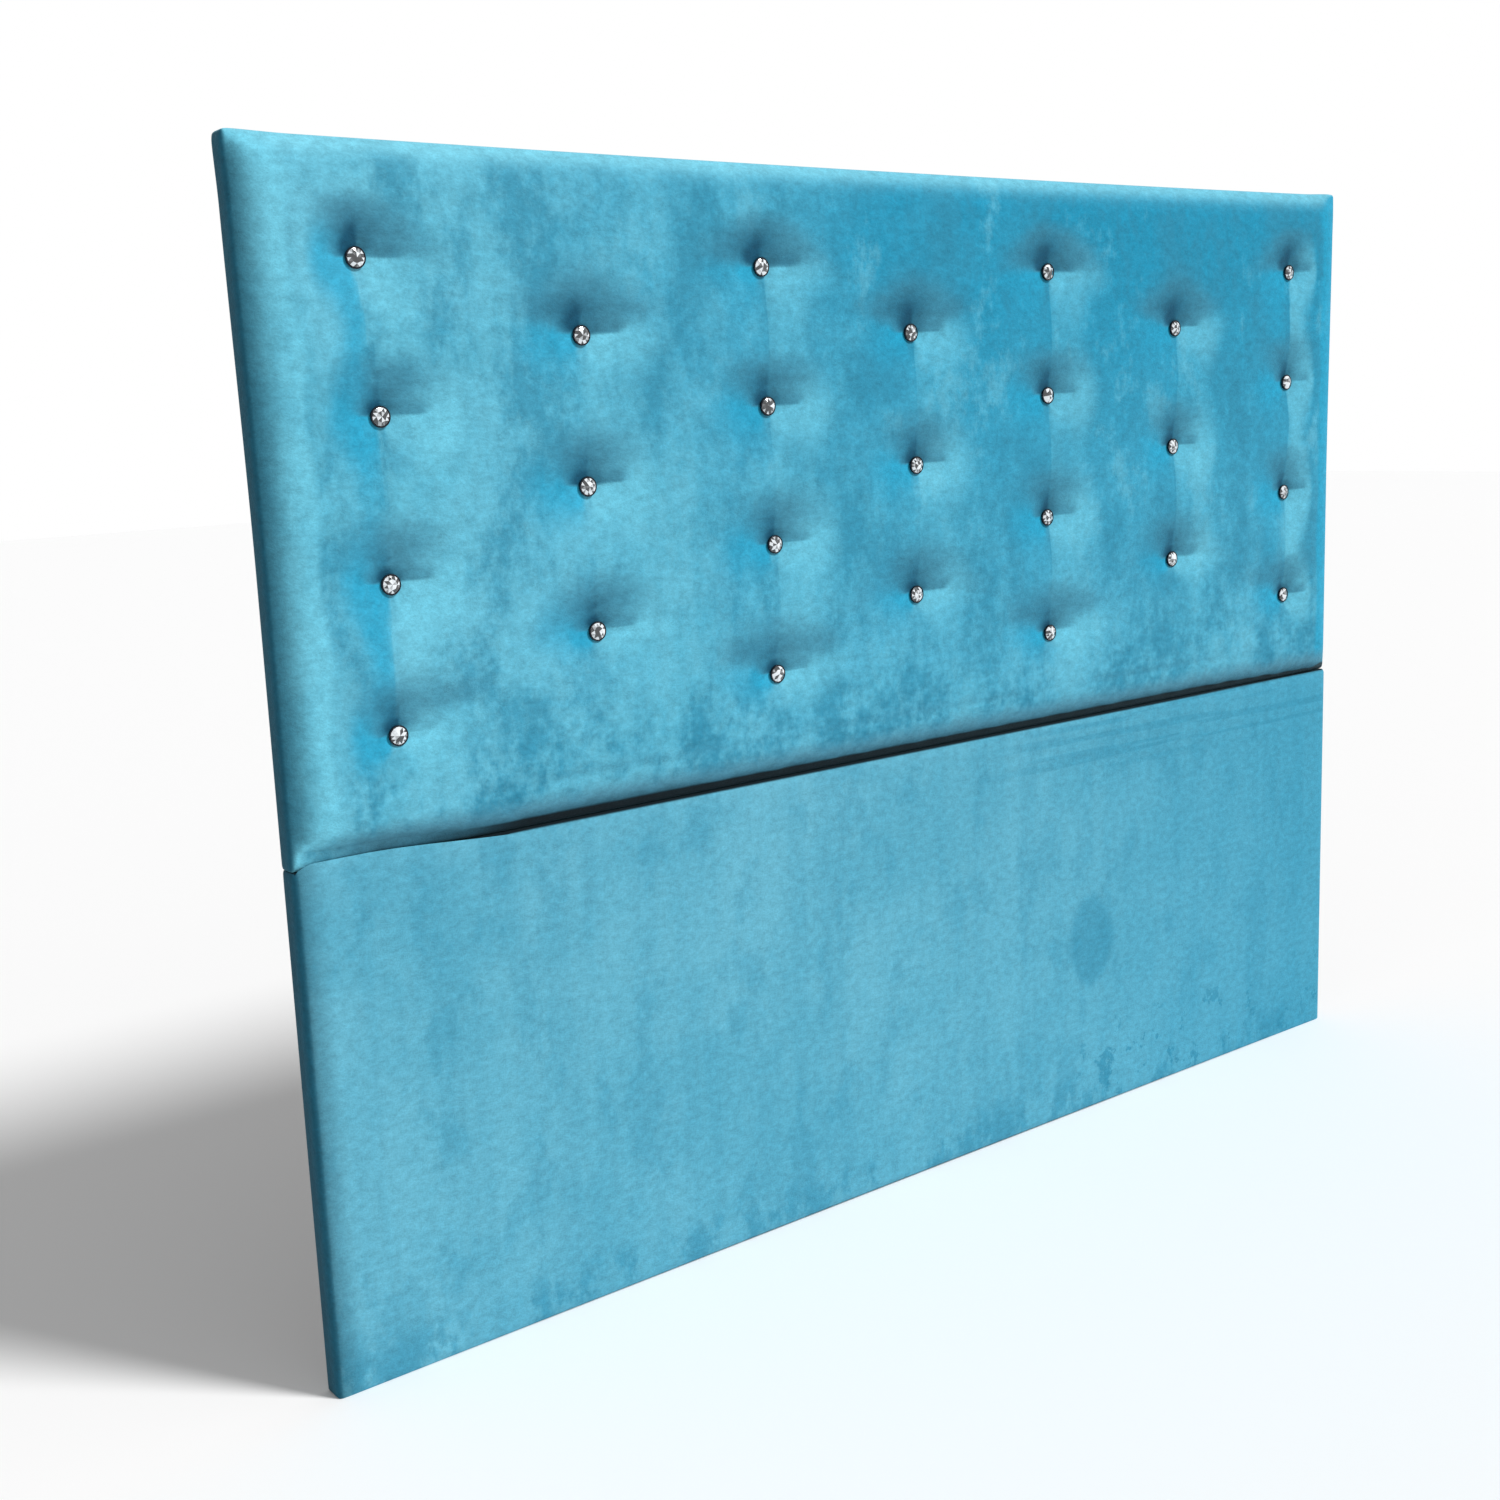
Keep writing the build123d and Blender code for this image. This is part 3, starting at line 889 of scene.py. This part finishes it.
print("seam gap up to", seam_gap(x).max() / MM, "mm")


# %% [markdown]
# ## Closing the back
#
# The net ends in an open rim behind. The rim is closed with one flat face, so the pad is a
# closed form, and the dust cloth covers it.

# %% Close and finish the upper panel
SHARP_ANGLE = math.radians(50)


def close_back(piece):
    """Fills the open rim at the back with one face."""
    hold(piece)
    bpy.ops.object.mode_set(mode="EDIT")
    bpy.ops.mesh.select_mode(type="VERT")
    bpy.ops.mesh.select_all(action="DESELECT")
    bpy.ops.mesh.select_non_manifold()
    bpy.ops.mesh.edge_face_add()
    bpy.ops.mesh.select_all(action="SELECT")
    bpy.ops.mesh.normals_make_consistent(inside=False)
    bpy.ops.object.mode_set(mode="OBJECT")
    bpy.ops.object.shade_smooth_by_angle(angle=SHARP_ANGLE)


close_back(upper)
ready(upper, "velvet", "upper_cover", material=upper_velvet)


# %% [markdown]
# ## The lower panel
#
# The lower panel starts from a box in the same way, only flatter. Its foam is thin, so its
# edges are tight. Its face is taut and plain, so it needs neither tufts nor a simulation:
# its bottom edge is pulled in a little, and its top follows the seam.

# %% Make the lower panel
LOWER_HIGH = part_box("lower_cover")[1]
LOWER_ROLL = 8 * MM
LOWER_BASE_ROLL = 1 * MM
BASE_PULL = 2.5 * MM

lower = padded_box("lower_panel_velvet", "lower_cover", LOWER_ROLL, LOWER_BASE_ROLL, TIGHT_CORNER)
places = points(lower)
x, y, z = places.T
base_pull = smooth(z, RIM, 0) * BASE_PULL * (1 - (x / LOWER_HIGH.x) ** 2)
places[:, 2] += base_pull + seam_shift(x, y, z, 0)
put_points(lower, places)
close_back(lower)
ready(lower, "velvet", "lower_cover", material=lower_velvet)


# %% [markdown]
# ## The foam
#
# The foam fills what the velvet leaves in front of the board and round the frame. Modelled
# on its own it would show through somewhere, so it is a copy of the velvet, shrunk by the
# thickness of the cloth and cut off flat behind with a bisect. A box as large as the board
# and frame is then taken out of it with a boolean.

# %% Copy the foam out of the velvet
CLOTH_THICKNESS = 1.2 * MM
FOAM_COARSENING = 2


def foam_under(cover, name, node, board):
    """The foam between one velvet and its board and frame."""
    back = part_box(node)[1].y
    foam = bpy.data.objects.new(name, cover.data.copy())
    foam.data.name = name
    foam.data.materials.clear()
    SCENE.collection.objects.link(foam)
    hold(foam)
    coarser = foam.modifiers.new("coarser", "DECIMATE")
    coarser.decimate_type = "UNSUBDIV"
    coarser.iterations = FOAM_COARSENING
    bpy.ops.object.modifier_apply(modifier=coarser.name)
    bpy.ops.object.mode_set(mode="EDIT")
    bpy.ops.mesh.select_all(action="SELECT")
    bpy.ops.transform.shrink_fatten(value=-CLOTH_THICKNESS)
    bpy.ops.mesh.bisect(plane_co=(0, back, 0), plane_no=(0, 1, 0), clear_outer=True, use_fill=True)
    bpy.ops.object.mode_set(mode="OBJECT")
    low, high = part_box(board)
    high.y = back + CLOTH_THICKNESS
    room = block(name + "_room", low, high)
    hold(foam)
    cut = foam.modifiers.new("room", "BOOLEAN")
    cut.operation = "DIFFERENCE"
    cut.object = room
    bpy.ops.object.modifier_apply(modifier=cut.name)
    bpy.data.objects.remove(room)
    bpy.ops.object.shade_smooth_by_angle(angle=SHARP_ANGLE)
    ready(foam, "foam", node)
    return foam


upper_foam = foam_under(upper, "upper_panel_foam", "upper_foam", "upper_backing_board")
lower_foam = foam_under(lower, "lower_panel_foam", "lower_foam", "lower_backing_board")


# %% [markdown]
# ## Cutting one stone
#
# The buttons are cut glass stones, each held in a chrome cup. A stone could be cut from a
# solid with planes, but building it up is shorter: a ring of sixteen points for the girdle
# and a ring of eight higher up are bridged with triangles, and the middle is poked up to
# a point.

# %% Cut one stone
STONE_SIDES = 16
STONE_FIT = 0.94
STONE_SHOULDER = 0.6
STONE_RISE = 1.5 * MM
STONE_PEAK = 1.0 * MM
GIRDLE_SET = 2.4 * MM


def ring(sides, radius, y):
    """A ring of points round the Y axis."""
    bpy.ops.mesh.primitive_circle_add(
        vertices=sides, radius=radius, location=(0, y, 0), rotation=(math.pi / 2, 0, 0)
    )


def cut_stone(radius, girdle_y, back_y):
    """One stone on the Y axis, facing the front."""
    let_go()
    ring(STONE_SIDES, radius, girdle_y)
    stone = bpy.context.object
    bpy.ops.object.transform_apply(location=True, rotation=True, scale=True)
    bpy.ops.object.mode_set(mode="EDIT")
    ring(STONE_SIDES // 2, radius * STONE_SHOULDER, girdle_y - STONE_RISE)
    bpy.ops.mesh.select_all(action="SELECT")
    bpy.ops.mesh.bridge_edge_loops()
    bpy.ops.object.mode_set(mode="OBJECT")
    shoulder = points(stone)[:, 1] < girdle_y - STONE_RISE / 2
    choose(stone, shoulder)
    bpy.ops.mesh.edge_face_add()
    bpy.ops.mesh.poke()
    bpy.ops.object.mode_set(mode="OBJECT")
    places = points(stone)
    choose(stone, np.hypot(places[:, 0], places[:, 2]) < radius * STONE_SHOULDER / 2)
    bpy.ops.transform.translate(value=(0, -STONE_PEAK, 0))
    let_go()
    choose(stone, np.abs(points(stone)[:, 1] - girdle_y) < STONE_RISE / 4)
    bpy.ops.mesh.extrude_region_move(TRANSFORM_OT_translate={"value": (0, back_y - girdle_y, 0)})
    bpy.ops.mesh.edge_face_add()
    bpy.ops.mesh.select_all(action="SELECT")
    bpy.ops.mesh.normals_make_consistent(inside=False)
    bpy.ops.object.mode_set(mode="OBJECT")
    return stone


crystal_low, crystal_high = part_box("crystals_column_1")
stone_places = points(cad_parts["crystals_column_1"])
top_z = stone_places[:, 2].max()
first = stone_places[stone_places[:, 2] > top_z - BUTTON_GAP]
stone_radius = STONE_FIT * (top_z - first[:, 2].min()) / 2
stone = cut_stone(stone_radius, crystal_low.y + GIRDLE_SET, crystal_high.y)
print("stone", 2 * stone_radius / MM, "mm wide, faces", len(stone.data.polygons))


# %% [markdown]
# ## A stone in every button
#
# The glass has a foil behind, so each facet looks black, white or grey, by what it faces.
# Tracing light through 25 real stones would be slow and noisy, so the reflections are painted
# in the colour: noise that is read at the way a facet faces gives each one a flat painted
# reflection of its own, and turning each copy a little differently makes no two buttons
# alike. The stones of a column are joined.

# %% Set the stones
STONE_TURN = 2.4
FACING_STRETCH, PLACE_STRETCH = (6, 1, 6), (5, 5, 5)
FACET_EDGES = (0.47, 0.56)
# Painted reflections: the dark and the bright tone a facet shows by what it faces.
REFLECTION_DARK, REFLECTION_BRIGHT = paint(16, 22, 28), paint(226, 232, 236)


def crystal():
    """Foiled glass, whose facets carry painted reflections that differ by the way they face."""
    finish = Finish(
        "crystal_painted_reflections",
        Roughness=0.08,
        Specular_IOR_Level=0.8,
        Coat_Weight=1,
        Coat_Roughness=0.02,
    )
    facing = finish.node("ShaderNodeNewGeometry", {}, output="True Normal")
    turned = finish.stretch(facing, FACING_STRETCH)
    near = finish.stretch(finish.place(), PLACE_STRETCH)
    where = finish.node("ShaderNodeVectorMath", {0: turned, 1: near}, operation="ADD")
    tone = finish.noise(where, scale=1.9, detail=1).between(*FACET_EDGES)
    finish.feed(Base_Color=finish.mix(tone, REFLECTION_DARK, REFLECTION_BRIGHT))
    return finish.material


painted_crystal = crystal()
count = 0
for number, column in enumerate(columns, 1):
    copies = []
    for x, z in column:
        copy = bpy.data.objects.new(f"stone_{count}", stone.data.copy())
        SCENE.collection.objects.link(copy)
        turn = Matrix.Rotation(count * STONE_TURN, 4, "Y")
        copy.matrix_world = Matrix.Translation((x, 0, z)) @ turn
        copies.append(copy)
        count += 1
    hold(copies[0])
    for copy in copies:
        copy.select_set(True)
    bpy.ops.object.transform_apply(location=True, rotation=True, scale=True)
    bpy.ops.object.join()
    stones = bpy.context.object
    stones.name = stones.data.name = f"stones_column_{number}"
    ready(stones, "crystal", f"crystals_column_{number}", material=painted_crystal)
bpy.data.objects.remove(stone)


# %% [markdown]
# ## The stuff of the rigid pieces
#
# The other solids already have their shape, so each only gets a finish: dark chrome on the
# cups, pine, hardboard, foam, steel, twine and the washers behind the board. Each is seen
# from far or not at all, so two colours and one fine noise are enough. Only pine has a
# grain, which is the same noise drawn out along the wood.

# %% Mix the stuffs
PINE_PALE, PINE_RING, PINE_GRAIN = paint(226, 190, 138), paint(204, 158, 104), paint(170, 120, 74)
PINE_STRETCH = {"x": (0.06, 1, 1), "z": (1, 1, 0.06)}
RING_EDGES, GRAIN_EDGES, GRAIN_SHARE = (0.4, 0.6), (0.45, 0.7), 0.4
CHROME_DARK, CHROME_PALE = paint(30, 34, 40), paint(58, 62, 70)
SPECKLE_EDGES = (0.35, 0.65)


def chrome():
    """Dark chrome, a little worn."""
    finish = Finish("dark_chrome", Metallic=1.0, Roughness=0.16)
    worn = finish.noise(finish.place(), scale=900, detail=2)
    finish.feed(Base_Color=finish.mix(worn, CHROME_DARK, CHROME_PALE))
    return finish.material


def pine(along):
    """Planed pine whose grain runs along one axis, x or z."""
    finish = Finish("pine_" + along, Roughness=0.62)
    drawn = finish.stretch(finish.place(), PINE_STRETCH[along])
    grain = finish.noise(drawn, scale=110, detail=5, roughness=0.65)
    rings = finish.noise(drawn, scale=28, detail=2).between(*RING_EDGES)
    body = finish.mix(rings, PINE_PALE, PINE_RING)
    body = finish.mix(grain.between(*GRAIN_EDGES) * GRAIN_SHARE, body, PINE_GRAIN)
    finish.feed(Base_Color=body, Normal=finish.bump(grain, 0.4 * MM, strength=0.4))
    return finish.material


def speckled(name, first, second, scale, height=0, **constants):
    """A plain stuff with a fine grain of two colours, each 0 to 255."""
    finish = Finish(name, **constants)
    grain = finish.noise(finish.place(), scale, detail=3, roughness=0.7)
    speckle = grain.between(*SPECKLE_EDGES)
    finish.feed(Base_Color=finish.mix(speckle, paint(*first), paint(*second)))
    if height:
        finish.feed(Normal=finish.bump(grain, height, strength=0.6))
    return finish.material


pine_x, pine_z = pine("x"), pine("z")
hardboard = speckled(
    "hardboard", (118, 82, 54), (146, 106, 72), scale=600, height=0.2 * MM, Roughness=0.55
)
foam_stuff = speckled(
    "foam", (236, 226, 190), (214, 200, 158), scale=700, height=0.5 * MM, Roughness=0.9
)
steel = speckled(
    "zinc_steel", (150, 152, 156), (188, 190, 194), scale=500, Roughness=0.3, Metallic=1.0
)
twine = speckled(
    "waxed_twine", (222, 212, 188), (190, 176, 146), scale=1500, height=0.3 * MM, Roughness=0.7
)
plastic = speckled("washer_plastic", (30, 31, 33), (40, 41, 44), scale=400, Roughness=0.5)
cup_chrome = chrome()
print("stuffs mixed")


# %% [markdown]
# ## Dressing the solids that stay
#
# There are dozens of them, so they are not dressed one by one. The words in the name of a
# node say what it is made of, and one table from word to stuff does for all.

# %% Dress the solids that stay
STUFF = {
    "stile": pine_z,
    "stud_": pine_z,
    "rail": pine_x,
    "backing_board": hardboard,
    "screws": steel,
    "pins": steel,
    "staples": steel,
    "button_loops": steel,
    "twine_washers": plastic,
    "tufting_twine": twine,
    "button_cups": cup_chrome,
}
for name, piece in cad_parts.items():
    stuff = next((made for word, made in STUFF.items() if word in name), None)
    if stuff:
        piece.data.materials.clear()
        piece.data.materials.append(stuff)
for piece in (upper_foam, lower_foam):
    piece.data.materials.append(foam_stuff)
print("dressed")


# %% [markdown]
# ## The dust cloths
#
# Thin black non-woven cloth closes the back of each panel. It is stretched and stapled
# near its edge, so its rim is straight at each staple and pulled in a little between. A
# simulation could find that too, but a wave with the pitch of the staples is simpler and
# always comes out the same.

# %% Stretch a dust cloth over each back
DUST_NET = 12 * MM
DUST_THICKNESS = 0.25 * MM
DUST_SCALLOP = 1.5 * MM
DUST_RIPPLE = 0.5 * MM
STAPLE_PITCH = 120 * MM
RIPPLE_REACH = 50 * MM
DUST_ANGLE = math.radians(40)


def dust_cloth(name, node, stuff):
    """One thin cloth at the back of a panel."""
    low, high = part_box(node)
    wide, tall = high.x - low.x, high.z - low.z
    let_go()
    bpy.ops.mesh.primitive_grid_add(
        size=1,
        x_subdivisions=round(wide / DUST_NET),
        y_subdivisions=round(tall / DUST_NET),
        location=((low.x + high.x) / 2, low.y, (low.z + high.z) / 2),
        rotation=(-math.pi / 2, 0, 0),
    )
    cloth = bpy.context.object
    cloth.name = cloth.data.name = name
    cloth.scale = (wide, tall, 1)
    bpy.ops.object.transform_apply(location=True, rotation=True, scale=True)
    places = points(cloth)
    x, _, z = places.T
    up = z - (low.z + high.z) / 2
    rim_x = smooth(np.abs(x), high.x - RIPPLE_REACH, high.x)
    rim_z = smooth(np.abs(up), tall / 2 - RIPPLE_REACH, tall / 2)
    slack_x = rim_x * np.sin(np.pi * (z - low.z) / STAPLE_PITCH) ** 2
    slack_z = rim_z * np.sin(np.pi * (x - low.x) / STAPLE_PITCH) ** 2
    ripple = np.maximum(slack_x * (1 - rim_x), slack_z * (1 - rim_z))
    aside = -np.sign(x) * slack_x * DUST_SCALLOP
    upward = -np.sign(up) * slack_z * DUST_SCALLOP
    put_points(cloth, places + np.stack([aside, ripple * DUST_RIPPLE, upward], 1))
    hold(cloth)
    thick = cloth.modifiers.new("thickness", "SOLIDIFY")
    thick.thickness = DUST_THICKNESS
    thick.offset = 1
    bpy.ops.object.modifier_apply(modifier=thick.name)
    bpy.ops.object.shade_smooth_by_angle(angle=DUST_ANGLE)
    ready(cloth, "dust_cloth", node, material=stuff)


nonwoven = speckled(
    "black_nonwoven", (24, 24, 26), (38, 38, 41), scale=1400, height=0.2 * MM, Roughness=0.85
)
dust_cloth("upper_panel_dust_cloth", "upper_dust_cloth", nonwoven)
dust_cloth("lower_panel_dust_cloth", "lower_dust_cloth", nonwoven)


# %% [markdown]
# ## Light and background
#
# A headboard stands against a wall in a bright room, but here it is shown plainly: one
# soft lamp from the upper right in front, and an even white sky for the rest. The sky is
# pure white to the camera and in reflections, and dimmer as a lamp.

# %% Light the object
KEY_FROM = (0.45, -0.62, 0.72)
KEY_SPREAD = math.radians(14)
KEY_STRENGTH = 2.9
SKY_LIGHT = 0.4

key = bpy.data.lights.new("key", "SUN")
key.angle = KEY_SPREAD
key.energy = KEY_STRENGTH
lamp = bpy.data.objects.new("key", key)
SCENE.collection.objects.link(lamp)
lamp.matrix_world = (-Vector(KEY_FROM)).to_track_quat("-Z", "Y").to_matrix().to_4x4()

world = bpy.data.worlds.new("studio")
SCENE.world = world
world.use_nodes = True
sky = world.node_tree
background = next(n for n in sky.nodes if n.type == "BACKGROUND")
path = sky.nodes.new("ShaderNodeLightPath")
seen = path.outputs["Is Camera Ray"]
for ray in ("Is Glossy Ray", "Is Transmission Ray"):
    either = sky.nodes.new("ShaderNodeMath")
    either.operation = "MAXIMUM"
    sky.links.new(seen, either.inputs[0])
    sky.links.new(path.outputs[ray], either.inputs[1])
    seen = either.outputs[0]
level = sky.nodes.new("ShaderNodeMapRange")
level.inputs["To Min"].default_value = SKY_LIGHT
sky.links.new(seen, level.inputs["Value"])
sky.links.new(level.outputs[0], background.inputs["Strength"])
background.inputs["Color"].default_value = (1, 1, 1, 1)
print("lit from", KEY_FROM)


# %% [markdown]
# ## The floor
#
# The floor only catches the shadow, so it is a plain sheet far wider than the picture. It
# is a prop of the stage and no piece of the headboard.

# %% Lay the floor
FLOOR_SIZE = 30
FLOOR_WHITE = (0.94, 0.94, 0.94, 1)

let_go()
bpy.ops.mesh.primitive_plane_add(size=FLOOR_SIZE)
floor = bpy.context.object
floor.name = "floor"
floor_paint = Finish("floor_paint", Roughness=0.9, Specular_IOR_Level=0.1)
floor_paint.feed(Base_Color=FLOOR_WHITE)
floor.data.materials.append(floor_paint.material)
print("floor", FLOOR_SIZE, "m wide")
